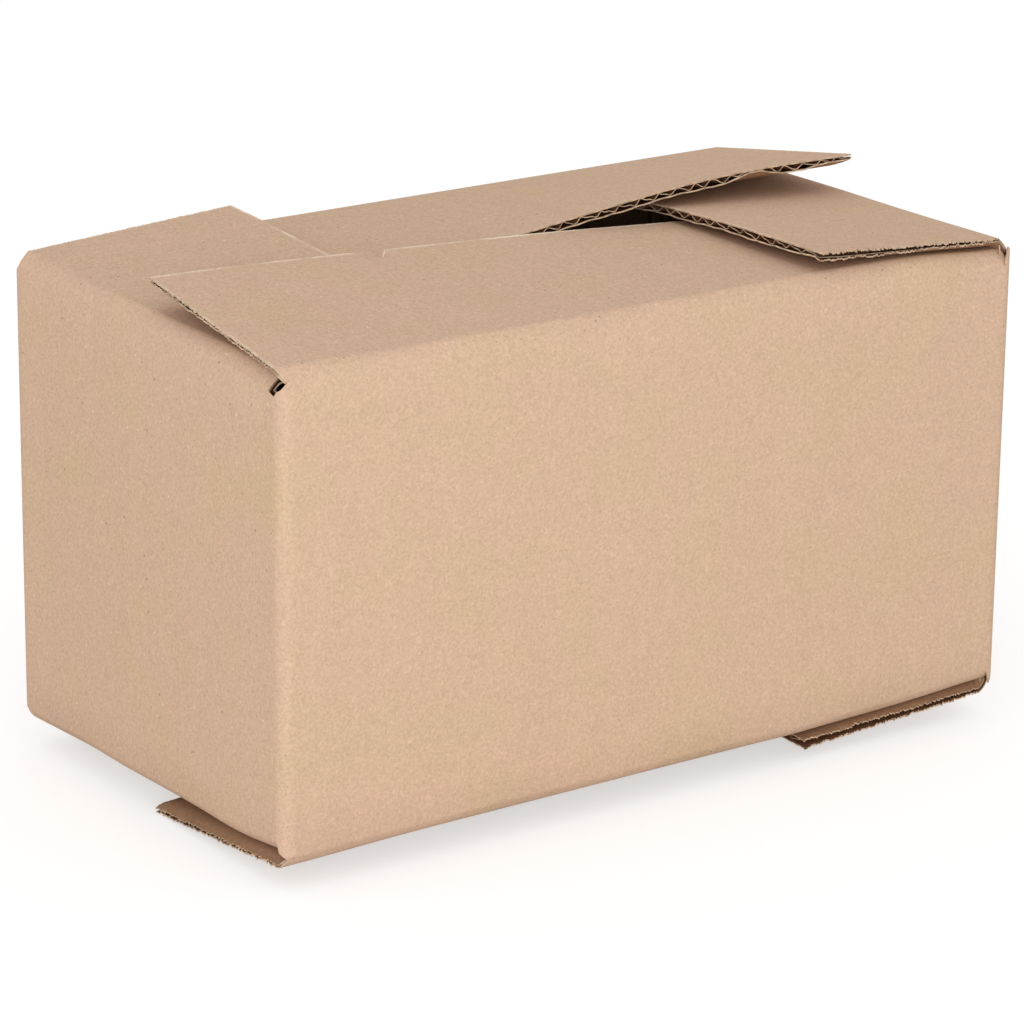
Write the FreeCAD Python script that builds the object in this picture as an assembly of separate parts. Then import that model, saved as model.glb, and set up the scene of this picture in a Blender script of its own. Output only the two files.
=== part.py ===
import FreeCAD
import Part
import math
import os

# A shipping carton of single-wall corrugated board, closed without tape: at the top
# and at the bottom its four flaps are tucked in a ring, each over the next and
# under the one before. The whole carton is one folded and glued sheet, so it is
# one solid. X runs along the length, Y along the width, Z up, and Z = 0 is the
# lowest corner of the bottom flaps, on which the carton stands. Sizes are in mm.

# Overall size, over the outer faces and between the top and bottom crease lines
length = 300.0
width = 170.0
height = 165.0

# Board: two flat liners with a fluted medium between them
board = 3.8
liner = 0.5
medium = 0.45
flute_pitch = 8.0
crest = 1.2  # width of a flute where it is glued to the liner

# Folds and cuts of the blank
fold_radius = 5.0  # outer radius of the scored flap folds
corner_radius = 4.5  # outer radius of the upright folds
slot_half = 4.5  # from an upright corner to the cut side of a flap
slot_depth = 4.5  # how far a slot runs past the crease line
meet_gap = 0.8  # between the free edges of the two long flaps
score_zone = 10.0  # crushed band next to a crease, where the flutes are closed
tab_width = 35.0  # glued lap inside the hidden rear corner
tab_inset = 14.0  # from the crease lines to the ends of the lap

# Stub of wall that each flap brings with it, below its crease
stub = 3.2 * board + 1.0

# Each flap is twisted: it stands proud at its free end and is pushed below its
# neighbour at its tucked end. A station is (place along the fold, height of the
# fold, height of the free edge), with the place from 0 at the free end to 1 at the
# tucked end, and both heights in board thicknesses out of the crease plane.
TOP = {
    "front": [(0, 0.32, 3.1), (0.163, 0.08, 2.63), (0.534, 0, 1.16), (0.76, 0, -0.12),
              (0.878, -0.12, -0.85), (1, -1.05, -1.53)],
    "right": [(0, 0.21, 2.0), (0.283, 0, 1.82), (0.562, 0, 1.32),
              (0.842, -0.16, -0.18), (1, -1.24, -1.38)],
    "back": [(0, 0, 3.68), (0.156, 0, 3.79), (0.273, 0, 3.29),
             (0.723, 0, -0.72), (0.878, -0.1, -1.2), (1, -0.85, -1.64)],
    "left": [(0, 0.53, 1.82), (0.22, 0.08, 1.26), (0.842, -0.12, -0.62),
             (1, -0.94, -1.42)],
}
BOTTOM = {
    "front": [(0, 0.4, 2.5), (0.163, 0.1, 1.95), (0.534, 0, 0.35),
              (0.723, 0, -0.82), (0.878, -0.32, -1.2), (1, -1.0, -1.5)],
    "right": [(0, 0.3, 1.42), (0.283, 0, 0.85), (0.562, 0, 0.15), (0.7, 0, -0.3),
              (0.842, -0.48, -0.8), (1, -1.24, -1.42)],
    "back": [(0, 0, 2.2), (0.156, 0, 2.0), (0.273, 0, 1.55),
             (0.723, 0, -0.85), (0.878, -0.1, -1.2), (1, -0.8, -1.6)],
    "left": [(0, 0.5, 2.1), (0.22, 0.1, 1.2), (0.842, -0.1, -0.75),
             (1, -0.85, -1.35)],
}

# Turn of each side about the upright axis, seen from above
TURN = {"front": 0.0, "right": 90.0, "back": 180.0, "left": 270.0}

flap_depth = width / 2.0


def vec(x, y, z):
    return FreeCAD.Vector(x, y, z)


def along(side):
    """Length of the cut flap along its fold."""
    return (length if side in ("front", "back") else width) - 2 * slot_half


def reach(side):
    """Distance from the middle of the carton to the outer face of a side."""
    return (width if side in ("front", "back") else length) / 2.0


def free_edge(side):
    """Depth of a flap: the two long flaps stop short of each other."""
    return flap_depth - (meet_gap / 2 if side in ("front", "back") else 0)


def at_place(rows, place, column):
    """Height of the fold or of the free edge, straight between the stations."""
    for low, high in zip(rows, rows[1:]):
        if place <= high[0] or high is rows[-1]:
            part = (place - low[0]) / (high[0] - low[0])
            return board * (low[column] + (high[column] - low[column]) * part)


def slope(fold, edge):
    """Angle of a flap whose outer face leaves its fold and meets its free edge."""
    angle = 0.0
    run = flap_depth - fold_radius
    for _ in range(30):
        rise = fold_radius * (math.cos(angle) - 1)
        rise += (run + fold_radius * math.sin(angle)) * math.tan(angle)
        angle -= (fold + rise - edge) / flap_depth
    return angle


def skin(fold, edge, radius):
    """Wall end, bend corner, bend end and free end of one face of the board."""
    angle = slope(fold, edge)
    corner = radius * math.tan(math.pi / 4 - angle / 2)
    end_v = fold_radius - radius * math.sin(angle)
    end_w = fold - fold_radius + radius * math.cos(angle)
    tip_v = flap_depth + 2.0
    tip_w = end_w + (tip_v - end_v) * math.tan(angle)
    return [(fold_radius - radius, fold - fold_radius),
            (fold_radius - radius, fold - fold_radius + corner),
            (end_v, end_w), (tip_v, tip_w)]


def bend(points, fold, edge):
    """Round bend between two faces, drawn from its two ends and its corner."""
    curve = Part.BezierCurve()
    curve.setPoles(points)
    curve.setWeight(2, math.cos(math.pi / 4 - slope(fold, edge) / 2))
    return curve.toShape()


def section(u, depth, fold, edge):
    """Closed outline of wall stub, bend and flap, square to the fold.

    The outer liner goes round the bend; the inner one is creased by the score.
    """
    def point(v, w):
        return vec(u, v - depth, w)
    outer = [point(*p) for p in skin(fold, edge, fold_radius)]
    inner = [point(*p) for p in skin(fold, edge, fold_radius - board)]
    foot_out = point(0, -stub)
    foot_in = point(board, -stub)
    return Part.Wire([
        Part.makeLine(foot_out, outer[0]),
        bend(outer[:3], fold, edge),
        Part.makeLine(outer[2], outer[3]),
        Part.makeLine(outer[3], inner[3]),
        Part.makeLine(inner[3], inner[2]),
        Part.makeLine(inner[2], inner[0]),
        Part.makeLine(inner[0], foot_in),
        Part.makeLine(foot_in, foot_out)])


def flute_outline(u, rows, side, upright):
    """One open flute on the free edge: a wedge between a liner and the medium."""
    half = board / 2 - liner
    wide = (flute_pitch - crest) / 2
    floor, tip = (-half, half - medium) if upright else (half, medium - half)
    run = along(side)
    points = []
    for du, dw in ((-wide, floor), (wide, floor), (0, tip)):
        top = at_place(rows, (u + du) / run + 0.5, 2)
        points.append(vec(u + du, 0, top - board / 2 + dw))
    return points


def flutes(side, rows, depth):
    """Prisms that open the flutes of a flap, each along its own straight line."""
    run = along(side)
    count = int(run / flute_pitch) * 2 + 2
    cutters = []
    for k in range(-count // 2, count // 2 + 1):
        u = k * flute_pitch / 2
        if abs(u) > run / 2 + flute_pitch / 8:
            continue
        place = min(1.0, max(0.0, u / run + 0.5))
        angle = slope(at_place(rows, place, 1), at_place(rows, place, 2))
        start = free_edge(side) + 0.5
        outline = flute_outline(u, rows, side, k % 2 == 0)
        shift = vec(0, start - depth, (start - flap_depth) * math.tan(angle))
        outline = [p + shift for p in outline]
        face = Part.Face(Part.makePolygon(outline + outline[:1]))
        run_in = start - score_zone
        cutters.append(face.extrude(vec(0, -run_in, -run_in * math.tan(angle))))
    return cutters


def flap(side, rows):
    """A twisted flap with its fold, its cut edges and its open flutes."""
    depth = reach(side)
    run = along(side)
    wires = [section((place - 0.5) * run, depth, board * fold, board * edge)
             for place, fold, edge in rows]
    sheet = Part.makeLoft(wires, True, True)
    beyond = Part.makeBox(run + 20, 20, 200, vec(-run / 2 - 10, free_edge(side) - depth, -100))
    sheet = sheet.cut(beyond)
    return sheet.cut(flutes(side, rows, depth))


def rounded(x_size, y_size, radius, low, high):
    """Upright block with rounded upright edges."""
    block = Part.makeBox(x_size, y_size, high - low, vec(-x_size / 2, -y_size / 2, low))
    upright = [e for e in block.Edges if abs(e.tangentAt(e.FirstParameter).z) > 0.9]
    return block.makeFillet(radius, upright)


def walls():
    """The four walls, notched at top and bottom for the folds of the flaps."""
    low, high = slot_depth, height - slot_depth
    tube = rounded(length, width, corner_radius, low, high).cut(
        rounded(length - 2 * board, width - 2 * board, corner_radius - board, low, high))
    notches = []
    for side in TURN:
        run = along(side)
        for base in (height - stub, stub - 40):
            notch = Part.makeBox(run, 3 * board, 40, vec(-run / 2, -reach(side) - board, base))
            notch.rotate(vec(0, 0, 0), vec(0, 0, 1), TURN[side])
            notches.append(notch)
    return tube.cut(notches)


def glue_lap():
    """The lap that closes the blank, flat on the inside of the back wall."""
    right = length / 2 - board / 2
    inside = width / 2 - board
    return Part.makeBox(tab_width, board, height - 2 * tab_inset,
                        vec(right - tab_width, inside - board, tab_inset))


def placed(side, shape, top):
    """A flap on its own side, at the top or mirrored to the bottom."""
    shape = shape.copy()
    shape.rotate(vec(0, 0, 0), vec(0, 0, 1), TURN[side])
    if top:
        shape.translate(vec(0, 0, height))
        return shape
    return shape.mirror(vec(0, 0, 0), vec(0, 0, 1))


def carton():
    pieces = [placed(side, flap(side, TOP[side]), True) for side in TURN]
    pieces += [placed(side, flap(side, BOTTOM[side]), False) for side in TURN]
    body = walls().fuse(pieces + [glue_lap()])
    lowest = body.optimalBoundingBox(False, False).ZMin
    body.translate(vec(0, 0, -lowest))
    return body


if __name__ == "__main__":
    os.makedirs("parts", exist_ok=True)
    carton().exportStep("parts/carton.step")
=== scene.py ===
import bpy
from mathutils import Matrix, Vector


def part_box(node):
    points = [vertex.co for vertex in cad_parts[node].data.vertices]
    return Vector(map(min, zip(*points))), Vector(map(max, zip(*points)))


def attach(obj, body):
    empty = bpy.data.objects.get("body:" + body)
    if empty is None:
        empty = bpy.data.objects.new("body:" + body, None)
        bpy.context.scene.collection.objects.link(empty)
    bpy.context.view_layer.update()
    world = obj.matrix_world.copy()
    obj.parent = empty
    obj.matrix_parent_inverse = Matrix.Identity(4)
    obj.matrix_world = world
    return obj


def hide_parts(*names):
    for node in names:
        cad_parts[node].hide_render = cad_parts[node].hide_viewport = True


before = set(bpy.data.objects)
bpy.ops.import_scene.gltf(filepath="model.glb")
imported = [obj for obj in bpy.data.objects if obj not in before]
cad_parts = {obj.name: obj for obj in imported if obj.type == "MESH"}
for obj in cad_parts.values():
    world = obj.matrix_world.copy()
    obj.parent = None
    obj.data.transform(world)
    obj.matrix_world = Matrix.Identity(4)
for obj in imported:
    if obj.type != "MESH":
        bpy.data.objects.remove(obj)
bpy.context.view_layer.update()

import math
import random

import bpy
from bpy.props import FloatProperty, PointerProperty, StringProperty
from mathutils import Matrix, Vector

bl_info = {
    "name": "Corrugated Carton",
    "version": (1, 0, 0),
    "blender": (4, 5, 0),
    "location": "View3D > Sidebar > Carton",
    "description": "A carton of single-wall board with its flaps tucked in a ring",
    "category": "Add Mesh",
}

# The carton is made as the real one is: a flat blank of two liners with a fluted
# medium between them, slotted, scored and then folded up. Lengths are in metres.
MM = 0.001
CAD_LOW, CAD_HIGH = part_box("carton")

# How each flap stands out of the crease plane, in board thicknesses, as (place along
# its fold, height of the fold, height of its free edge). The place goes from 0 at the
# end that stands proud to 1 at the end tucked below the neighbour.
TOP = {
    "front": [(0, 0.32, 3.1), (0.163, 0.08, 2.63), (0.534, 0, 1.16), (0.76, 0, -0.12),
              (0.878, -0.12, -0.85), (1, -1.05, -1.53)],
    "right": [(0, 0.21, 2.0), (0.283, 0, 1.82), (0.562, 0, 1.32),
              (0.842, -0.16, -0.18), (1, -1.24, -1.38)],
    "back": [(0, 0, 3.68), (0.156, 0, 3.79), (0.273, 0, 3.29),
             (0.723, 0, -0.72), (0.878, -0.1, -1.2), (1, -0.85, -1.64)],
    "left": [(0, 0.53, 1.82), (0.22, 0.08, 1.26), (0.842, -0.12, -0.62),
             (1, -0.94, -1.42)],
}
BOTTOM = {
    "front": [(0, 0.4, 2.5), (0.163, 0.1, 1.95), (0.534, 0, 0.35),
              (0.723, 0, -0.82), (0.878, -0.32, -1.2), (1, -1.0, -1.5)],
    "right": [(0, 0.3, 1.42), (0.283, 0, 0.85), (0.562, 0, 0.15), (0.7, 0, -0.3),
              (0.842, -0.48, -0.8), (1, -1.24, -1.42)],
    "back": [(0, 0, 2.2), (0.156, 0, 2.0), (0.273, 0, 1.55),
             (0.723, 0, -0.85), (0.878, -0.1, -1.2), (1, -0.8, -1.6)],
    "left": [(0, 0.5, 2.1), (0.22, 0.1, 1.2), (0.842, -0.1, -0.75),
             (1, -0.85, -1.35)],
}

# The marks of use below are given by (side, whether it is the top flap). Places are
# along the side, from its middle.

# What is left of the board's thickness at the cut side of a free end, along the flap
# and at its fold, and what is left at every other cut side
SIDE_CRUSH = {("front", True): 0.3, ("right", True): 0.78, ("back", True): 0.36,
              ("front", False): 0.42, ("right", False): 0.9}
FOLD_CRUSH = {("front", True): 0.2, ("right", True): 0.22, ("back", True): 0.5,
              ("front", False): 0.24, ("right", False): 0.5}
PLAIN_SIDE, PLAIN_FOLD = 0.66, 0.6
# Flutes that were bent shut at a free edge, as (from, to, share of the thickness lost),
# and the share that the knife takes everywhere
SHUT = {("back", True): [(-0.112, -0.092, 0.8), (-0.165, -0.122, 0.52)],
        ("right", True): [(-0.0805, -0.073, 0.5)]}
KNIFE_LOSS = 0.2
# A dent in a free edge, as (start, deepest, end, how far it is pressed down)
DENT = {("front", True): (-0.068, -0.0580, -0.0556, 3.4 * MM)}
# How far the paper stops short of the crease plane at the corner after each panel, in
# mm, over the four steps of the turn: the slots are torn there, each in its own way
TORN = {("left", True): (6.4, 5.6, 4.0, 2.4), ("front", True): (1.6, 2.4, 3.8, 5.2),
        ("back", True): (3.0, 4.0, 4.6, 3.8), ("right", True): (4.5, 4.9, 4.6, 4.0),
        ("left", False): (4.4, 3.4, 2.6, 3.2), ("front", False): (3.0, 4.4, 6.0, 7.0),
        ("back", False): (4.2, 4.8, 4.4, 3.6), ("right", False): (4.5, 4.9, 4.6, 4.0)}
# How far each free end spreads over the slot, at its fold and at its free edge, in mm
EAR = {("front", True): (4.5, 1.2), ("right", True): (0.8, 2.6),
       ("back", True): (2.0, 0.4), ("left", True): (1.2, 1.2),
       ("front", False): (3.6, 1.2), ("right", False): (1.6, 2.2)}
PLAIN_EAR = (0.8, 0.8)
# How much of a tucked end is torn away at its fold, in mm. Where it is less than
# nothing, the end spreads over the slot.
NICK = {("left", True): 4.0, ("back", False): 1.5, ("left", False): 1.5,
        ("front", True): -1.9, ("front", False): -1.9}
# How strongly each free edge is rubbed pale and lit with a painted highlight, and the
# cut sides as a share of that
RUB_AND_HIGHLIGHT = {("front", True): 1.25, ("left", True): 1.15, ("right", True): 0.9,
          ("back", True): 0.3}
PLAIN_RUB_AND_HIGHLIGHT, SIDE_RUB_AND_HIGHLIGHT = 0.8, 0.7
# Where the free edge of the front top flap was rubbed hardest by its neighbour and takes
# its strongest painted highlight
HARD_RUB_AND_HIGHLIGHT_FROM, HARD_RUB_AND_HIGHLIGHT_TO = -0.012, 0.058
HARD_RUB_AND_HIGHLIGHT = 7.0
# How far the cut sides of a flap are frayed, 1 where none is given, and its free edge
FRAYED = {("back", True): 0.6, ("right", True): 1.55, ("front", False): 1.45,
          ("right", False): 1.45, ("back", False): 1.45}
FRAYED_EDGE = 0.45
# How far the flutes lean over, as the rolls leave them
LEAN = 0.55

# Paper that goes round a fold, and from there to the free edge, on the flat blank
BEND_RUN, FLAP_RUN = 8 * MM, 80 * MM
# How far in from a cut side the board is crushed, torn at a tucked end, and spread at a
# free end, and how far in from a free edge it is crushed and bent by a dent
SIDE_ZONE, NICK_ZONE, EAR_ZONE = 5 * MM, 8 * MM, 10 * MM
EDGE_ZONE, DENT_ZONE = 6 * MM, 9 * MM
# The raw upright edge of the blank: how far it reaches past the back panel, and the
# share of the board's thickness that its knife took
RAW_REACH, RAW_PINCH = 4.1 * MM, 0.75
# The glued lap: its glue, how far its ends stay below the creases, and their taper
GLUE, LAP_INSET, LAP_TAPER = 0.1 * MM, 10 * MM, 0.25
# How far the medium stays inside the cut sides, and how deep its foot is in the wall
MEDIUM_RECESS, MEDIUM_FOOT = 1.3 * MM, 9 * MM

# Which way along each side is, seen from above
ALONG = {"front": (1, 0), "right": (0, 1), "back": (-1, 0), "left": (0, -1)}
# Order of the panels along the blank, from the raw edge to the glued lap
PANELS = ("back", "left", "front", "right")
# Steps in which the paper turns an upright corner, in degrees
CORNER_STEP = 18
CORNER_TURNS = [CORNER_STEP * k for k in range(1, 5)]


class CARTON_PG_sizes(bpy.types.PropertyGroup):
    """Sizes of the carton and of its board"""
    length: FloatProperty(
        name="Length", description="Over the outer faces of the end walls",
        default=CAD_HIGH.x - CAD_LOW.x, unit="LENGTH")
    width: FloatProperty(
        name="Width", description="Over the outer faces of the front and back walls",
        default=CAD_HIGH.y - CAD_LOW.y, unit="LENGTH")
    height: FloatProperty(
        name="Height", description="Between the bottom and the top crease lines",
        default=165 * MM, unit="LENGTH")
    hang: FloatProperty(
        name="Hang", description="How far the bottom flaps hang below their crease line",
        default=9.46 * MM, unit="LENGTH")
    board: FloatProperty(
        name="Board", description="Thickness of the whole board",
        default=3.8 * MM, unit="LENGTH")
    liner: FloatProperty(
        name="Liner", description="Thickness of each flat liner",
        default=0.5 * MM, unit="LENGTH")
    medium: FloatProperty(
        name="Medium", description="Thickness of the fluted paper",
        default=0.32 * MM, unit="LENGTH")
    flute_pitch: FloatProperty(
        name="Flute pitch", description="From one flute to the next",
        default=8.0 * MM, unit="LENGTH")
    fold_radius: FloatProperty(
        name="Fold radius", description="Outer radius of the scored flap folds",
        default=5.0 * MM, unit="LENGTH")
    corner_radius: FloatProperty(
        name="Corner radius", description="Outer radius of the upright folds",
        default=4.5 * MM, unit="LENGTH")
    slot_half: FloatProperty(
        name="Slot", description="From an upright corner to the cut side of a flap",
        default=4.5 * MM, unit="LENGTH")
    slot_depth: FloatProperty(
        name="Slot depth", description="How far a slot runs past the crease line",
        default=4.6 * MM, unit="LENGTH")
    meet_gap: FloatProperty(
        name="Gap", description="Between the free edges of the two long flaps",
        default=0.8 * MM, unit="LENGTH")
    lap_width: FloatProperty(
        name="Lap", description="Width of the glued lap inside the back wall",
        default=35 * MM, unit="LENGTH")
    tooth: FloatProperty(
        name="Tooth", description="Pitch of the rule teeth that cut the flap sides",
        default=1.3 * MM, unit="LENGTH")
    fray: FloatProperty(
        name="Fray", description="How far the cut fibres step in and out",
        default=0.62 * MM, unit="LENGTH")


class CARTON_PG_colours(bpy.types.PropertyGroup):
    """Colours of the papers and of the stage, as sRGB hex values"""
    kraft: StringProperty(
        name="Kraft liner", description="Face of the brown paper", default="#DCBA9F")
    shade: StringProperty(
        name="Kraft cloud", description="Yellower cloud in the paper", default="#D8BC98")
    fleck: StringProperty(
        name="Bark fleck", description="Dark specks in the paper", default="#8D7560")
    shive: StringProperty(
        name="Shive", description="Pale specks in the paper", default="#F2DEC6")
    # Pale fibres at a cut, and a painted highlight along the cut edges
    rubbed: StringProperty(
        name="Rubbed edge", description="Fibres that stand up at a cut",
        default="#FBE6CC")
    # Inside face, darker than the test liner is: partly painted shade for the unlit
    # inside of the carton
    inside: StringProperty(
        name="Test liner", description="Inside face of the board", default="#A88468")
    cut: StringProperty(
        name="Cut edge", description="Raw fibres of a cut liner", default="#D8BA9C")
    # Fluting colour, darker than the paper is: painted shade for the hollow flutes, on
    # the medium and on the liners' faces towards it
    flute: StringProperty(
        name="Fluting", description="Recycled paper inside the board", default="#80573D")
    floor: StringProperty(
        name="Floor", description="Pale studio floor", default="#FFFFFF")


def sizes():
    """The sizes that the panel shows."""
    return bpy.context.scene.carton_sizes


def colours():
    """The colours that the panel shows."""
    return bpy.context.scene.carton_colours


# ---------------------------------------------------------------- folding the blank

def reach(side):
    """From the middle of the carton to the outer face of a side."""
    return (sizes().width if side in ("front", "back") else sizes().length) / 2


def panel_ends(side):
    """Where the flat part of a panel starts and stops, measured along its side."""
    s = sizes()
    half = (s.length if side in ("front", "back") else s.width) / 2 - s.slot_half
    # The lap that follows the right panel lies inside the back wall
    return -half, half - (s.board if side == "right" else 0)


def plan(side, along, inward):
    """Point seen from above, some way along a side and inward of its outer face."""
    far = reach(side) - inward
    return {"front": (along, -far), "right": (far, along),
            "back": (-along, far), "left": (-far, -along)}[side]


def flap_reach(side):
    """How deep a flap is, from the outer face of its wall to its free edge."""
    s = sizes()
    return s.width / 2 - (s.meet_gap / 2 if side in ("front", "back") else 0)


def station(rows, place, column):
    """Height of the fold or the free edge, straight between the stations."""
    for low, high in zip(rows, rows[1:]):
        if place <= high[0] or high is rows[-1]:
            part = (min(1.0, max(0.0, place)) - low[0]) / (high[0] - low[0])
            return low[column] + (high[column] - low[column]) * part


def eased(rows, along, side, column):
    """Height of the fold or the free edge, with the kinks between stations eased."""
    s = sizes()
    run = (s.length if side in ("front", "back") else s.width) - 2 * s.slot_half
    total = 0
    for step in range(-3, 4):
        total += station(rows, (along + step * 4 * MM) / run + 0.5, column)
    return total / 7 * s.board  # the mean of the seven places, 4 mm apart


def lean(fold, edge):
    """Angle of a flap whose outer face leaves its fold and meets its free edge."""
    s = sizes()
    angle = 0.0
    deep = s.width / 2
    for _ in range(30):
        run = deep - s.fold_radius + s.fold_radius * math.sin(angle)
        rise = s.fold_radius * (math.cos(angle) - 1) + run * math.tan(angle)
        angle -= (fold + rise - edge) / deep
    return angle


class Flap:
    """One line down a flap, along a flute: from the wall, round the fold, to its edge.

    A point on it is given by the kind of paper, wall, bend or flap, by how far along
    that part it lies, from 0 to 1, and by how deep it is below the outer face.
    """

    def __init__(self, side, along, top):
        rows = (TOP if top else BOTTOM)[side]
        self.side, self.along, self.top = side, along, top
        self.fold = eased(rows, along, side, 1)
        self.angle = lean(self.fold, eased(rows, along, side, 2))

    def profile(self, kind, part, deep):
        """(inward, upward) of a point on the wall top, the bend or the flap."""
        s = sizes()
        radius = s.fold_radius - deep
        base = self.fold - s.fold_radius
        if kind == "bend":
            # The score leaves a facet with a crease at each side and not an arc, and it
            # is flatter in places
            whole = math.pi / 2 - self.angle
            flat = 0.62 + 0.16 * math.sin(self.along * 83 + 2 * self.top)
            arc = (radius * math.cos(part * whole), radius * math.sin(part * whole))
            chord = (radius * (1 + (math.cos(whole) - 1) * part),
                     radius * math.sin(whole) * part)
            mixed = [a + (c - a) * flat for a, c in zip(arc, chord)]
            return s.fold_radius - mixed[0], base + mixed[1]
        inward = s.fold_radius - radius * math.sin(self.angle)
        upward = base + radius * math.cos(self.angle)
        run = (flap_reach(self.side) - inward) * part
        pressed = self.dent() * max(0.0, 1 - (1 - part) * FLAP_RUN / DENT_ZONE) ** 2
        upward += run * math.tan(self.angle) - pressed
        return inward + run - pressed * 0.6, upward

    def dent(self):
        """How far the free edge is pressed down here."""
        start, deepest, end, drop = DENT.get((self.side, self.top), (0, 1, 2, 0))
        if not start < self.along < end:
            return 0.0
        if self.along < deepest:
            return drop * (self.along - start) / (deepest - start)
        return drop * (end - self.along) / (end - deepest)

    def crush(self, kind, part):
        """How thick the board is here: the rule that cut a side pinched it."""
        low, high = panel_ends(self.side)
        gap = min(self.along - low, high - self.along)
        free = self.along - low < high - self.along
        side_cut, fold = PLAIN_SIDE, PLAIN_FOLD
        if free:
            side_cut = SIDE_CRUSH.get((self.side, self.top), PLAIN_SIDE)
            fold = FOLD_CRUSH.get((self.side, self.top), PLAIN_FOLD)
        # The crush comes and goes down the flap
        side_cut += 0.1 * math.sin(part * 23 + len(self.side)) * math.sin(part * 9 + 1)
        side_cut = fold + (side_cut - fold) * (part if kind == "flap" else 0)
        amount = (1 - side_cut) * max(0.0, 1 - gap / SIDE_ZONE) ** 1.5
        if kind == "flap":
            edge = max(0.0, 1 - (1 - part) * FLAP_RUN / EDGE_ZONE)
            amount = max(amount, edge ** 1.5 * self.edge_crush())
        return 1 - amount

    def edge_crush(self):
        """Loss of thickness at the free edge, with the flutes that were bent shut."""
        loss = KNIFE_LOSS + (math.sin(self.along * 171.0) * 0.05
                             + math.sin(self.along * 613.0 + 1) * 0.04)
        for low, high, deep in SHUT.get((self.side, self.top), ()):
            middle, half = (low + high) / 2, (high - low) / 2
            shut = max(0.0, 1 - abs(self.along - middle) / half)
            loss = max(loss, deep * min(1.0, shut * 2.2))
        return loss

    def point(self, kind, part, deep, shift=0.0):
        """Place of a point of the paper that lies so deep below the outer face."""
        inward, upward = self.profile(kind, part, deep * self.crush(kind, part))
        low, high = panel_ends(self.side)
        if kind != "wall":
            down = part if kind == "flap" else 0
            nick = NICK.get((self.side, self.top), 0) * MM * (1 - down) ** 4
            shift -= nick * max(0.0, 1 - (high - self.along) / NICK_ZONE)
            # At its free end the flap spreads past its fold, over the slot
            at_fold, at_edge = EAR.get((self.side, self.top), PLAIN_EAR)
            ear = at_fold + (at_edge - at_fold) * down
            ear *= MM * max(0.0, 1 - (self.along - low) / EAR_ZONE)
            shift -= ear * (1 if kind == "flap" else part ** 0.4)
        x, y = plan(self.side, self.along + shift, inward)
        return Vector((x, y, level(upward, self.top)))


def level(upward, top):
    """Height in the row frame of a point some way out of a crease plane."""
    s = sizes()
    crease = CAD_LOW.z + s.hang
    return crease + s.height + upward if top else crease - upward


def spread(low, high, step):
    """Even steps from low to high, close to the step that is asked for."""
    count = max(1, round((high - low) / step))
    return [low + (high - low) * k / count for k in range(count + 1)]


def blank_columns(step):
    """Every line across the blank: the kind, the panel, and the place along it."""
    s = sizes()
    columns = []
    for side in PANELS:
        low, high = panel_ends(side)
        if side == "back":
            columns += [("raw", side, low - RAW_REACH), ("raw", side, low - 2 * MM)]
        inner = spread(low + 6 * MM, high - 6 * MM, step)
        if side == "front":
            start, deepest, end, _ = DENT["front", True]
            inner = sorted(inner + [start, deepest, end, (deepest + end) / 2])
        # Closer lines next to a cut side, where the board is crushed
        near = (0, 1.1 * MM, 2.4 * MM, 4 * MM)
        columns += [("panel", side, low + gap) for gap in near]
        columns += [("panel", side, place) for place in inner]
        columns += [("panel", side, high - gap) for gap in reversed(near)]
        columns += [("corner", side, turn) for turn in CORNER_TURNS]
    deep = s.board + GLUE
    start = reach("right") - s.corner_radius
    end = start - s.lap_width + 5 * MM
    columns += [("lap", deep, place) for place in spread(start, end, 6 * MM)]
    return columns


def blank_rows(flap_step, bend_steps, wall_steps):
    """Every line up the blank, from the bottom free edge to the top free edge."""
    count = round(FLAP_RUN / flap_step)
    flap = [("flap", k / count) for k in range(1, count - 1)]
    flap += [("flap", 1 - 1.5 * MM / FLAP_RUN), ("flap", 1)]
    bend = [("bend", k / bend_steps) for k in range(1, bend_steps + 1)]
    rows = [(False,) + row for row in reversed(bend + flap)]
    rows += [(None, "wall", k / wall_steps) for k in range(wall_steps + 1)]
    rows += [(True,) + row for row in bend + flap]
    return rows


def wall_span(column, flaps):
    """Lowest and highest point of the wall on one line of the blank."""
    s = sizes()
    kind = column[0]
    if kind == "panel":
        return [level(flap.fold - s.fold_radius, flap.top) for flap in flaps]
    if kind == "lap":
        taper = (reach("right") - s.corner_radius - column[2]) * LAP_TAPER
        return level(-LAP_INSET - taper, False), level(-LAP_INSET - taper, True)
    if kind == "raw":
        return level(-s.slot_depth, False), level(-s.slot_depth, True)
    step = round(column[2] / CORNER_STEP) - 1
    return [level(-TORN[column[1], top][step] * MM, top) for top in (False, True)]


def wall_plan(column, deep):
    """Point of the wall seen from above, on one line of the blank."""
    s = sizes()
    kind, side, place = column
    if kind == "raw":
        # The knife that cut the raw edge pinched the board nearly shut
        deep *= 1 - RAW_PINCH * (panel_ends(side)[0] - place) / RAW_REACH
    if kind in ("panel", "raw"):
        return plan(side, place, deep)
    if kind == "lap":
        return plan("back", -place, side + deep)
    turn = math.radians(place)
    radius = s.corner_radius - deep
    end = panel_ends(side)[1]
    return plan(side, end + radius * math.sin(turn),
                s.corner_radius - radius * math.cos(turn))


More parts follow.
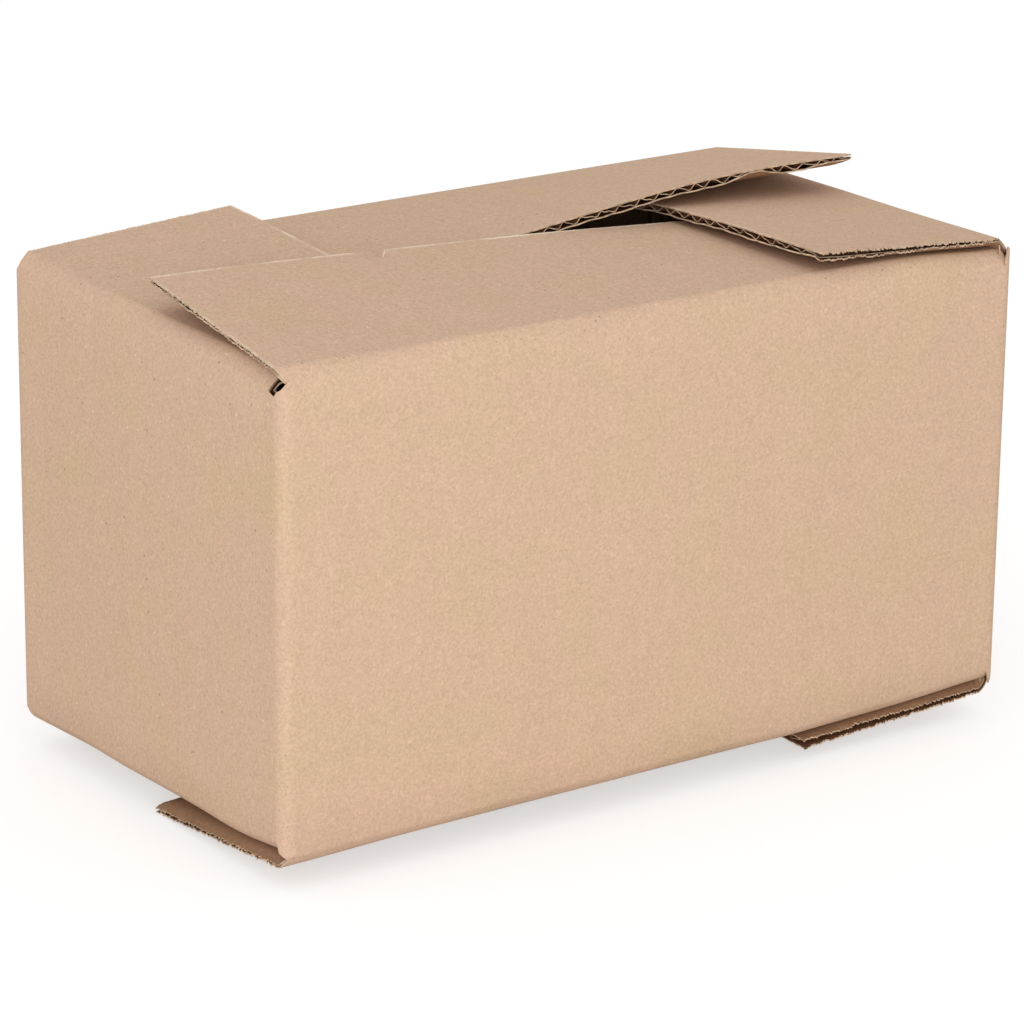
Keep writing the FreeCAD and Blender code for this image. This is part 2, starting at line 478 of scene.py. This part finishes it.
def cut_grid(name, columns, rows, keep):
    """A flat sheet of paper, one square for each step of the blank, slots cut out."""
    bpy.ops.object.select_all(action="DESELECT")
    across, up = len(columns) - 1, len(rows) - 1
    bpy.ops.mesh.primitive_grid_add(x_subdivisions=across, y_subdivisions=up, size=1.0)
    sheet = bpy.context.object
    sheet.name = name
    mesh = sheet.data
    mesh.name = name
    for corner in mesh.vertices:
        corner.select = False
    for line in mesh.edges:
        line.select = False
    for face in mesh.polygons:
        i = int((face.center.x + 0.5) * across)
        j = int((face.center.y + 0.5) * up)
        face.select = not keep(i, j)
    bpy.ops.object.mode_set(mode="EDIT")
    bpy.ops.mesh.select_mode(type="FACE")
    bpy.ops.mesh.delete(type="FACE")
    bpy.ops.object.mode_set(mode="OBJECT")
    cells = [(round((corner.co.x + 0.5) * across), round((corner.co.y + 0.5) * up))
             for corner in mesh.vertices]
    return sheet, cells


def jag_of(column, row, ends):
    """Which way a point on a cut edge is frayed, seen from above, and how far."""
    top, kind, part = row
    jag = Vector((0, 0))
    if kind == "flap" and column[2] in ends:
        out = -1 if column[2] == ends[0] else 1
        jag += Vector(ALONG[column[1]]) * out * FRAYED.get((column[1], top), 1)
    if kind == "flap" and part == 1:
        jag += Vector(ALONG[column[1]]).orthogonal() * FRAYED_EDGE
    return jag


def wear_of(column, row, flaps, ends):
    """How pale a point on the free edge or the cut side of a flap is rubbed and painted
    with a highlight.
    """
    top, kind, part = row
    _, side, place = column
    if kind != "flap" or not (part == 1 or place in ends):
        return 0.0
    # The neighbour rubbed the front top flap hardest where it lies on it and in its
    # dent, and there the painted highlight is strongest
    if (part, side, top) == (1, "front", True) and (
            HARD_RUB_AND_HIGHLIGHT_FROM < place < HARD_RUB_AND_HIGHLIGHT_TO or flaps[1].dent() > 0.3 * MM):
        return HARD_RUB_AND_HIGHLIGHT
    return RUB_AND_HIGHLIGHT.get((side, top), PLAIN_RUB_AND_HIGHLIGHT) * (1 if part == 1 else SIDE_RUB_AND_HIGHLIGHT)


def fray(sheet, jags, seed):
    """Cuts the edges finer and steps them in and out, as a toothed rule leaves them."""
    mesh = sheet.data
    way = mesh.attributes.new("jag", "FLOAT_VECTOR", "POINT")
    for k, jag in enumerate(jags):
        way.data[k].vector = (jag.x, jag.y, 0)
    bpy.context.view_layer.objects.active = sheet
    bpy.ops.object.mode_set(mode="EDIT")
    bpy.ops.mesh.select_mode(type="EDGE")
    bpy.ops.mesh.select_all(action="DESELECT")
    bpy.ops.mesh.select_non_manifold(
        extend=False, use_wire=False, use_boundary=True, use_multi_face=False,
        use_non_contiguous=False, use_verts=False)
    bpy.ops.mesh.subdivide(number_cuts=2)
    bpy.ops.object.mode_set(mode="OBJECT")
    s = sizes()
    chance = random.Random(seed)
    way = mesh.attributes["jag"]
    for corner, data in zip(mesh.vertices, way.data):
        jag = Vector(data.vector)
        if jag.length < 0.2:  # a point that lies away from the cut edges
            continue
        along = (corner.co.x * jag.y + corner.co.y * jag.x) / jag.length
        # The teeth of the rule, with torn fibres between, now and then a longer one
        tooth = abs((along / s.tooth + seed * 0.37) % 1.0 - 0.5) * 2 - 0.5
        step = tooth * 0.5 + chance.uniform(-0.5, 0.5) + 0.5 * (chance.random() < 0.06)
        corner.co += jag * step * s.fray
        corner.co.z += chance.uniform(-0.12, 0.12) * MM * jag.length ** 3
    mesh.attributes.remove(mesh.attributes["jag"])


def blank_uv(mesh, places):
    """UV map in metres across and up the flat blank, so patterns follow the folds."""
    layer = mesh.uv_layers[0]
    for loop in mesh.loops:
        layer.data[loop.index].uv = places[loop.vertex_index]


def thicken(sheet, thick, rim, inside):
    """Gives folded paper its thickness, inwards, with its own cut edge and inside."""
    bpy.context.view_layer.objects.active = sheet
    paper = sheet.modifiers.new("Paper", "SOLIDIFY")
    paper.thickness = thick
    paper.offset = -1
    paper.material_offset_rim = rim
    paper.material_offset = inside
    bpy.ops.object.modifier_apply(modifier=paper.name)


def finish_piece(piece, main=False):
    """Smooths a piece and says what it rides on; the main one replaces the solid."""
    bpy.ops.object.select_all(action="DESELECT")
    piece.select_set(True)
    bpy.context.view_layer.objects.active = piece
    bpy.ops.object.shade_smooth_by_angle(angle=math.radians(40))
    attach(piece, "root")
    if main:
        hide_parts("carton")


def fold_liner(name, deep, seed, step, flap_step):
    """Cuts one liner out of flat paper and folds it to the carton."""
    s = sizes()
    columns = blank_columns(step)
    rows = blank_rows(flap_step, bend_steps=6, wall_steps=12)

    def keep(i, j):
        on_panel = columns[i][0] == "panel" and columns[i + 1][0] == "panel"
        on_wall = rows[j][1] == "wall" and rows[j + 1][1] == "wall"
        return on_wall or on_panel

    sheet, cells = cut_grid(name, columns, rows, keep)
    lines = [[Flap(side, place, top) for top in (False, True)]
             if kind == "panel" else None for kind, side, place in columns]
    spans = [wall_span(column, flaps) for column, flaps in zip(columns, lines)]
    ends = {side: panel_ends(side) for side in PANELS}
    across = [0.0]  # of each column, from the raw edge, on the flat blank
    for a, b in zip(columns, columns[1:]):
        ax, ay = wall_plan(a, 0)
        bx, by = wall_plan(b, 0)
        across.append(across[-1] + math.hypot(bx - ax, by - ay))
    places, jags, wear_and_highlight = [], [], []
    for corner, (i, j) in zip(sheet.data.vertices, cells):
        top, kind, part = rows[j]
        column = columns[i]
        if kind == "wall":
            low, high = spans[i]
            z = low + (high - low) * part
            inset = deep
            if column[0] == "panel" and part in (0, 1):
                inset *= lines[i][int(part)].crush("bend", 0)
            corner.co = Vector((*wall_plan(column, inset), z))
            up = part * s.height
        else:
            corner.co = lines[i][1 if top else 0].point(kind, part, deep)
            run = part * BEND_RUN if kind == "bend" else BEND_RUN + part * FLAP_RUN
            up = s.height + run if top else -run
        places.append((across[i], up))
        cut_at = ends.get(column[1], ())
        jags.append(jag_of(column, rows[j], cut_at))
        wear_and_highlight.append(wear_of(column, rows[j], lines[i], cut_at))
    blank_uv(sheet.data, places)
    # How pale each point of the edges is, rubbed and painted with a highlight
    worn_and_highlight = sheet.data.attributes.new("worn_and_highlight", "FLOAT", "POINT")
    for data, amount in zip(worn_and_highlight.data, wear_and_highlight):
        data.value = amount
    fray(sheet, jags, seed)
    return sheet


class CARTON_OT_outer_liner(bpy.types.Operator):
    """Folds the outer liner: four walls, eight flaps and the glued lap in one sheet"""
    bl_idname = "carton.outer_liner"
    bl_label = "Outer liner"

    def execute(self, context):
        s = sizes()
        liner = fold_liner("outer_liner", deep=0.0, seed=3, step=4 * MM,
                           flap_step=1.3 * MM)
        # The liner's face towards the flutes takes the fluting colour, painted shade for
        # the hollow flutes
        for paper in (kraft_liner_paper, cut_kraft_edge, fluting_and_shade):
            liner.data.materials.append(once(paper))
        thicken(liner, s.liner, rim=1, inside=2)
        finish_piece(liner, main=True)
        return {"FINISHED"}


class CARTON_OT_inner_liner(bpy.types.Operator):
    """Folds the inner liner, the face of the board towards the inside"""
    bl_idname = "carton.inner_liner"
    bl_label = "Inner liner"

    def execute(self, context):
        s = sizes()
        liner = fold_liner("inner_liner", deep=s.board - s.liner, seed=8, step=5 * MM,
                           flap_step=1.3 * MM)
        # The face towards the flutes takes the fluting colour, painted shade for the
        # hollow flutes; the face towards the inside of the carton takes the test liner,
        # darkened partly with painted shade
        for paper in (fluting_and_shade, cut_kraft_edge, test_liner_and_shade):
            liner.data.materials.append(once(paper))
        thicken(liner, s.liner, rim=1, inside=2)
        finish_piece(liner)
        return {"FINISHED"}


class CARTON_OT_fluting(bpy.types.Operator):
    """Folds the fluted medium of the eight flaps, from the free edge into the wall"""
    bl_idname = "carton.fluting"
    bl_label = "Fluting"

    def execute(self, context):
        s = sizes()
        parts = [self.flap_medium(side, top) for top in (True, False) for side in PANELS]
        bpy.ops.object.select_all(action="DESELECT")
        for part in parts:
            part.select_set(True)
        bpy.context.view_layer.objects.active = parts[0]
        bpy.ops.object.join()
        medium = parts[0]
        medium.name = medium.data.name = "fluted_medium"
        # The medium takes the fluting colour, darkened with painted shade for the hollow
        # flutes
        for paper in (fluting_and_shade, cut_kraft_edge):
            medium.data.materials.append(once(paper))
        thicken(medium, s.medium, rim=1, inside=0)
        finish_piece(medium)
        return {"FINISHED"}

    def flap_medium(self, side, top):
        """Presses one flat sheet into flutes and folds it along one flap."""
        s = sizes()
        low, high = panel_ends(side)
        low, high = low + MEDIUM_RECESS, high - MEDIUM_RECESS
        chance = random.Random(len(side) + top)
        bent = [(chance.uniform(-0.3, 0.3) * MM, chance.uniform(0.0, 1.1) * MM)
                for _ in range(60)]
        columns = spread(low, high, s.flute_pitch / 10)  # ten steps to a flute
        rows = [("flap", k / 8) for k in range(8, -1, -1)]
        rows += [("bend", k / 3) for k in range(2, -1, -1)] + [("stub", 1)]
        sheet, cells = cut_grid("flutes_" + side + ("_top" if top else "_bottom"),
                                columns, rows, lambda i, j: True)
        phase = 1.9 if side == "back" else 0
        phase_step = 1 if top else 2
        wave = (s.board - 2 * s.liner - s.medium) / 2
        lines = [Flap(side, along, top) for along in columns]
        places = []
        for corner, (i, j) in zip(sheet.data.vertices, cells):
            kind, part = rows[j]
            along = columns[i]
            # The flutes are pressed flatter at the fold and in the wall
            high_flute = 1.0 if kind == "flap" and part > 0.1 else 0.35
            # The pitch, the lean and the height of the flutes all wander a little
            turn = math.tau * along / s.flute_pitch + phase
            turn += 0.5 * math.sin(along * 90 + phase_step) + 0.3 * math.sin(along * 331)
            tilt = LEAN * (1 + 0.9 * math.sin(along * 57 + len(side)))
            swing = math.sin(turn + tilt * math.sin(turn))
            swing *= 0.9 + 0.1 * math.sin(along * 211)
            deep = (s.board - s.medium) / 2 + wave * high_flute * swing
            if kind == "stub":
                flap = lines[i]
                x, y = plan(side, along, deep)
                foot = flap.fold - s.fold_radius - MEDIUM_FOOT
                corner.co = Vector((x, y, level(foot, top)))
            else:
                # At the cut each half flute is bent a little and stops short of the
                # liners
                side_step, short = bent[i // 5 % len(bent)]
                cut = 1.0 if (kind, part) == ("flap", 1) else 0.0
                place = part - cut * short / FLAP_RUN
                corner.co = lines[i].point(kind, place, deep, cut * side_step)
            places.append((along, part * FLAP_RUN))
        blank_uv(sheet.data, places)
        if top:
            # The top flaps run the other way up, so their faces are turned over
            bpy.ops.object.mode_set(mode="EDIT")
            bpy.ops.mesh.select_all(action="SELECT")
            bpy.ops.mesh.flip_normals()
            bpy.ops.object.mode_set(mode="OBJECT")
        return sheet


# ---------------------------------------------------------------- papers

def linear(code):
    """Linear colour of an sRGB hex value."""
    value = [int(code[k:k + 2], 16) / 255 for k in (1, 3, 5)]
    return tuple(c / 12.92 if c <= 0.04045 else ((c + 0.055) / 1.055) ** 2.4
                 for c in value) + (1.0,)


def add_node(tree, kind, inputs=None, **settings):
    """Adds one node with its settings; an input is a value or another node's output."""
    node = tree.nodes.new(kind)
    for name, value in settings.items():
        setattr(node, name, value)
    for name, value in (inputs or {}).items():
        if isinstance(value, bpy.types.NodeSocket):
            tree.links.new(value, node.inputs[name])
        else:
            node.inputs[name].default_value = value
    return node


def once(make):
    """The material that a function makes, made only at its first use."""
    return bpy.data.materials.get(make.__name__) or make()


def new_material(name):
    """An empty material with its node tree."""
    material = bpy.data.materials.new(name)
    material.use_nodes = True
    material.node_tree.nodes.clear()
    return material, material.node_tree


def stops(ramp, *points):
    """Sets the stops of a colour ramp from (place, grey) pairs."""
    elements = ramp.color_ramp.elements
    while len(elements) < len(points):
        elements.new(0.5)
    for element, (place, grey) in zip(elements, points):
        element.position = place
        element.color = (grey, grey, grey, 1)
    return ramp.outputs["Color"]


def kraft_liner_paper():
    """Kraft liner."""
    # Brown kraft liner, calendered on the paper machine: matt, with a short wandering
    # fibre grain, faint yellow clouds, and a few dark and pale specks of recycled stock.
    c = colours()
    material, tree = new_material("kraft_liner_paper")
    place = add_node(tree, "ShaderNodeTexCoord").outputs["Object"]
    # Fibre grain about 1 mm long
    grain = add_node(tree, "ShaderNodeTexNoise", {
        "Vector": place, "Scale": 1000.0, "Detail": 3.0, "Roughness": 0.65,
        "Distortion": 0.8})
    grain_mask = stops(add_node(tree, "ShaderNodeValToRGB", {
        "Fac": grain.outputs["Fac"]}), (0.28, 0.85), (0.72, 1.11))
    # Wandering bundles of fibre about 3 mm long
    bundle = add_node(tree, "ShaderNodeTexNoise", {
        "Vector": place, "Scale": 300.0, "Detail": 2.0, "Roughness": 0.5,
        "Distortion": 2.4})
    bundle_mask = stops(add_node(tree, "ShaderNodeValToRGB", {
        "Fac": bundle.outputs["Fac"]}), (0.3, 0.93), (0.7, 1.055))
    # Yellower clouds about 30 mm across
    cloud = add_node(tree, "ShaderNodeTexNoise", {
        "Vector": place, "Scale": 34.0, "Detail": 3.0, "Roughness": 0.5})
    cloud_mask = stops(add_node(tree, "ShaderNodeValToRGB", {
        "Fac": cloud.outputs["Fac"]}), (0.48, 0.0), (0.72, 0.65))
    colour = add_node(tree, "ShaderNodeMixRGB", {
        "Fac": cloud_mask, "Color1": linear(c.kraft), "Color2": linear(c.shade)})
    for mask in (grain_mask, bundle_mask):
        colour = add_node(tree, "ShaderNodeMixRGB", {
            "Fac": 1.0, "Color1": colour.outputs["Color"], "Color2": mask},
            blend_type="MULTIPLY")
    # Faint bands along the flutes, about 17, 8 and 4 mm wide, on the flat blank
    blank = add_node(tree, "ShaderNodeTexCoord").outputs["UV"]
    along = add_node(tree, "ShaderNodeMapping", {
        "Vector": blank, "Scale": (1.0, 0.06, 1.0)}).outputs["Vector"]
    band = add_node(tree, "ShaderNodeTexNoise", {
        "Vector": along, "Scale": 60.0, "Detail": 3.0, "Roughness": 0.7})
    band_mask = stops(add_node(tree, "ShaderNodeValToRGB", {
        "Fac": band.outputs["Fac"]}), (0.3, 0.992), (0.7, 1.014))
    colour = add_node(tree, "ShaderNodeMixRGB", {
        "Fac": 1.0, "Color1": colour.outputs["Color"], "Color2": band_mask},
        blend_type="MULTIPLY")
    # Dark bark flecks and pale shives, 0.4 to 0.8 mm across, each in about half of its
    # cells, which are 7, 5 and 2.4 mm wide
    for scale, spread_out, pick, tint, strength in (
            (150.0, 0.085, 0.5, c.fleck, 0.75), (210.0, 0.11, 0.5, c.shive, 0.85),
            (420.0, 0.16, 0.58, c.fleck, 0.58)):
        cell = add_node(tree, "ShaderNodeTexVoronoi", {"Vector": place, "Scale": scale})
        dot = stops(add_node(tree, "ShaderNodeValToRGB", {
            "Fac": cell.outputs["Distance"]}),
            (spread_out * 0.4, strength), (spread_out, 0.0))
        chosen = add_node(tree, "ShaderNodeMath", {
            0: cell.outputs["Color"], 1: pick}, operation="GREATER_THAN")
        mask = add_node(tree, "ShaderNodeMath", {
            0: dot, 1: chosen.outputs["Value"]}, operation="MULTIPLY")
        colour = add_node(tree, "ShaderNodeMixRGB", {
            "Fac": mask.outputs["Value"], "Color1": colour.outputs["Color"],
            "Color2": linear(tint)})
    # Cut edges are rubbed pale where the fibres stand up, and painted with a highlight,
    # in patches about 17 mm long that are broken every 2 to 3 mm
    worn_and_highlight = add_node(tree, "ShaderNodeAttribute", attribute_name="worn_and_highlight")
    patchy = add_node(tree, "ShaderNodeTexNoise", {
        "Vector": place, "Scale": 60.0, "Detail": 2.0})
    rub_and_highlight_patches = stops(add_node(tree, "ShaderNodeValToRGB", {
        "Fac": patchy.outputs["Fac"]}), (0.38, 0.25), (0.58, 1.0))
    broken = add_node(tree, "ShaderNodeTexNoise", {
        "Vector": place, "Scale": 420.0, "Detail": 2.0, "Roughness": 0.7})
    broken_mask = stops(add_node(tree, "ShaderNodeValToRGB", {
        "Fac": broken.outputs["Fac"]}), (0.35, 0.15), (0.55, 1.0))
    rub_and_highlight_mask = add_node(tree, "ShaderNodeMath", {
        0: rub_and_highlight_patches, 1: broken_mask}, operation="MULTIPLY")
    rubbed = add_node(tree, "ShaderNodeMath", {
        0: worn_and_highlight.outputs["Fac"], 1: rub_and_highlight_mask.outputs["Value"]}, operation="MULTIPLY",
        use_clamp=True)
    colour = add_node(tree, "ShaderNodeMixRGB", {
        "Fac": rubbed.outputs["Value"], "Color1": colour.outputs["Color"],
        "Color2": linear(c.rubbed)})
    height = add_node(tree, "ShaderNodeMath", {
        0: grain.outputs["Fac"], 1: bundle.outputs["Fac"]}, operation="ADD")
    bump = add_node(tree, "ShaderNodeBump", {
        "Strength": 0.35, "Distance": 0.00025, "Height": height.outputs["Value"]})
    shader = add_node(tree, "ShaderNodeBsdfPrincipled", {
        "Base Color": colour.outputs["Color"], "Roughness": 0.9,
        "Specular IOR Level": 0.06, "Normal": bump.outputs["Normal"]})
    add_node(tree, "ShaderNodeOutputMaterial", {"Surface": shader.outputs["BSDF"]})
    return material


def test_liner_and_shade():
    """Test liner."""
    # Recycled test liner, the inside face: duller and more speckled than kraft, with
    # specks of about 1 mm. It is darker than kraft partly because test liner is, and
    # partly as painted shade for the unlit inside of the carton.
    c = colours()
    material, tree = new_material("test_liner_and_shade")
    place = add_node(tree, "ShaderNodeTexCoord").outputs["Object"]
    grain = add_node(tree, "ShaderNodeTexNoise", {
        "Vector": place, "Scale": 900.0, "Detail": 3.0, "Roughness": 0.65})
    mask = stops(add_node(tree, "ShaderNodeValToRGB", {
        "Fac": grain.outputs["Fac"]}), (0.3, 0.8), (0.7, 1.12))
    colour = add_node(tree, "ShaderNodeMixRGB", {
        "Fac": 1.0, "Color1": linear(c.inside), "Color2": mask}, blend_type="MULTIPLY")
    bump = add_node(tree, "ShaderNodeBump", {
        "Strength": 0.35, "Distance": 0.00025, "Height": grain.outputs["Fac"]})
    shader = add_node(tree, "ShaderNodeBsdfPrincipled", {
        "Base Color": colour.outputs["Color"], "Roughness": 0.95,
        "Specular IOR Level": 0.05, "Normal": bump.outputs["Normal"]})
    add_node(tree, "ShaderNodeOutputMaterial", {"Surface": shader.outputs["BSDF"]})
    return material


def cut_kraft_edge():
    """Cut liner."""
    # Raw edge of kraft liner, cut by a toothed rule: fuzzy and matt, in the paper's own
    # brown, with fuzz of about 0.8 mm.
    c = colours()
    material, tree = new_material("cut_kraft_edge")
    place = add_node(tree, "ShaderNodeTexCoord").outputs["Object"]
    fuzz = add_node(tree, "ShaderNodeTexNoise", {
        "Vector": place, "Scale": 1200.0, "Detail": 2.0})
    mask = stops(add_node(tree, "ShaderNodeValToRGB", {
        "Fac": fuzz.outputs["Fac"]}), (0.3, 0.8), (0.7, 1.1))
    # Darker where glue and dust sit on the cut, in patches about 3 mm long
    dust = add_node(tree, "ShaderNodeTexNoise", {
        "Vector": place, "Scale": 330.0, "Detail": 2.0})
    dust_mask = stops(add_node(tree, "ShaderNodeValToRGB", {
        "Fac": dust.outputs["Fac"]}), (0.4, 0.66), (0.6, 1.06))
    colour = add_node(tree, "ShaderNodeMixRGB", {
        "Fac": 1.0, "Color1": linear(c.cut), "Color2": mask}, blend_type="MULTIPLY")
    colour = add_node(tree, "ShaderNodeMixRGB", {
        "Fac": 1.0, "Color1": colour.outputs["Color"], "Color2": dust_mask},
        blend_type="MULTIPLY")
    shader = add_node(tree, "ShaderNodeBsdfPrincipled", {
        "Base Color": colour.outputs["Color"], "Roughness": 0.95,
        "Specular IOR Level": 0.1})
    add_node(tree, "ShaderNodeOutputMaterial", {"Surface": shader.outputs["BSDF"]})
    return material


def fluting_and_shade():
    """Fluting."""
    # Recycled fluting paper, pressed hot between corrugating rolls: rougher than the
    # liners, with a grain of about 1 mm. It is darker than the liners partly because
    # recycled fluting is, and partly as painted shade for the hollow flutes. It also
    # covers the liners' faces towards the flutes.
    c = colours()
    material, tree = new_material("fluting_and_shade")
    place = add_node(tree, "ShaderNodeTexCoord").outputs["Object"]
    fibre = add_node(tree, "ShaderNodeTexNoise", {
        "Vector": place, "Scale": 900.0, "Detail": 3.0})
    mask = stops(add_node(tree, "ShaderNodeValToRGB", {
        "Fac": fibre.outputs["Fac"]}), (0.3, 0.85), (0.7, 1.05))
    colour = add_node(tree, "ShaderNodeMixRGB", {
        "Fac": 1.0, "Color1": linear(c.flute), "Color2": mask}, blend_type="MULTIPLY")
    shader = add_node(tree, "ShaderNodeBsdfPrincipled", {
        "Base Color": colour.outputs["Color"], "Roughness": 0.95,
        "Specular IOR Level": 0.1})
    add_node(tree, "ShaderNodeOutputMaterial", {"Surface": shader.outputs["BSDF"]})
    return material


def painted_floor():
    """Painted floor."""
    # Matt white painted studio floor. The camera sees it pure white, and it throws
    # less light back at the carton than it shows.
    c = colours()
    material, tree = new_material("painted_floor")
    rays = add_node(tree, "ShaderNodeLightPath")
    seen = add_node(tree, "ShaderNodeMath", {
        0: rays.outputs["Is Camera Ray"], 1: rays.outputs["Is Glossy Ray"]},
        operation="MAXIMUM")
    bounce = add_node(tree, "ShaderNodeBsdfDiffuse", {"Color": (0.75, 0.75, 0.75, 1)})
    white = add_node(tree, "ShaderNodeBsdfDiffuse", {"Color": (0.62, 0.62, 0.62, 1)})
    glow = add_node(tree, "ShaderNodeEmission", {
        "Color": linear(c.floor), "Strength": 0.54})
    shown = add_node(tree, "ShaderNodeAddShader", {0: white.outputs["BSDF"],
                                                   1: glow.outputs["Emission"]})
    mix = add_node(tree, "ShaderNodeMixShader", {
        0: seen.outputs["Value"], 1: bounce.outputs["BSDF"], 2: shown.outputs["Shader"]})
    add_node(tree, "ShaderNodeOutputMaterial", {"Surface": mix.outputs["Shader"]})
    return material


# ---------------------------------------------------------------- stage

class CARTON_OT_stage(bpy.types.Operator):
    """Sets the floor, the soft light and the camera of the studio shot"""
    bl_idname = "carton.stage"
    bl_label = "Stage"

    def execute(self, context):
        self.floor()
        self.light()
        self.camera()
        return {"FINISHED"}

    def floor(self):
        """The plane that the carton stands on."""
        bpy.ops.object.select_all(action="DESELECT")
        bpy.ops.mesh.primitive_plane_add(size=40, location=(0, 0, 0))
        floor = bpy.context.object
        floor.name = "studio_floor"
        floor.data.materials.append(once(painted_floor))

    def light(self):
        """Even light from all around and one soft lamp."""
        world = bpy.data.worlds.new("studio")
        bpy.context.scene.world = world
        world.use_nodes = True
        tree = world.node_tree
        tree.nodes.clear()
        rays = add_node(tree, "ShaderNodeLightPath")
        seen = add_node(tree, "ShaderNodeMath", {
            0: rays.outputs["Is Camera Ray"], 1: rays.outputs["Is Glossy Ray"]},
            operation="MAXIMUM")
        soft = add_node(tree, "ShaderNodeBackground", {
            "Color": (1, 1, 1, 1), "Strength": 0.745})
        shown = add_node(tree, "ShaderNodeBackground", {
            "Color": (1, 1, 1, 1), "Strength": 1.0})
        mix = add_node(tree, "ShaderNodeMixShader", {
            0: seen.outputs["Value"], 1: soft.outputs["Background"],
            2: shown.outputs["Background"]})
        add_node(tree, "ShaderNodeOutputWorld", {"Surface": mix.outputs["Shader"]})
        # One large soft lamp in front, low and to the left, aimed at the carton's middle
        azimuth, height, away = math.radians(-36), math.radians(8), 2.2
        aim = Vector((0, 0, 0.09))
        toward = Vector((math.sin(azimuth) * math.cos(height),
                         -math.cos(azimuth) * math.cos(height), math.sin(height)))
        bpy.ops.object.light_add(type="AREA", location=toward * away + aim)
        lamp = bpy.context.object
        lamp.name = "soft_lamp"
        lamp.rotation_euler = toward.to_track_quat("Z", "Y").to_euler()
        lamp.data.shape = "DISK"
        lamp.data.size = 1.3
        lamp.data.energy = 21

    def camera(self):
        """The view of the studio shot, from the front left and a little above."""
        azimuth, height = math.radians(-35.334), math.radians(18.1205)
        roll = math.radians(0.6312)
        back = Vector((math.sin(azimuth) * math.cos(height),
                       -math.cos(azimuth) * math.cos(height), math.sin(height)))
        right = Vector((0, 0, 1)).cross(back).normalized()
        up = back.cross(right)
        across = right * math.cos(roll) + up * math.sin(roll)
        upward = up * math.cos(roll) - right * math.sin(roll)
        turn = Matrix((across, upward, back)).transposed()
        crease = CAD_LOW.z + sizes().hang
        target = Vector((-1.678 * MM, 0, crease + 70.568 * MM))
        away = 1.58565
        bpy.ops.object.camera_add(location=target + back * away,
                                  rotation=turn.to_euler())
        camera = bpy.context.object
        camera.name = "shot"
        camera.data.sensor_fit = "HORIZONTAL"
        camera.data.sensor_width = 36
        camera.data.lens = 160.27
        camera.data.clip_end = 100
        bpy.context.scene.camera = camera
        bpy.context.scene.view_settings.view_transform = "Standard"


class CARTON_PT_panel(bpy.types.Panel):
    """Lists the steps that build the carton"""
    bl_label = "Carton"
    bl_idname = "CARTON_PT_panel"
    bl_space_type = "VIEW_3D"
    bl_region_type = "UI"
    bl_category = "Carton"

    def draw(self, context):
        for group in (context.scene.carton_sizes, context.scene.carton_colours):
            box = self.layout.box()
            for name in group.__annotations__:
                box.prop(group, name)
        for operator in OPERATORS:
            self.layout.operator(operator.bl_idname)


OPERATORS = (CARTON_OT_outer_liner, CARTON_OT_inner_liner, CARTON_OT_fluting,
             CARTON_OT_stage)
CLASSES = (CARTON_PG_sizes, CARTON_PG_colours) + OPERATORS + (CARTON_PT_panel,)


def register():
    for cls in CLASSES:
        bpy.utils.register_class(cls)
    bpy.types.Scene.carton_sizes = PointerProperty(type=CARTON_PG_sizes)
    bpy.types.Scene.carton_colours = PointerProperty(type=CARTON_PG_colours)


def unregister():
    del bpy.types.Scene.carton_sizes
    del bpy.types.Scene.carton_colours
    for cls in reversed(CLASSES):
        bpy.utils.unregister_class(cls)


def main():
    register()
    bpy.ops.carton.outer_liner()
    bpy.ops.carton.inner_liner()
    bpy.ops.carton.fluting()
    bpy.ops.carton.stage()
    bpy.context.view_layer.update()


if __name__ == "__main__":
    main()
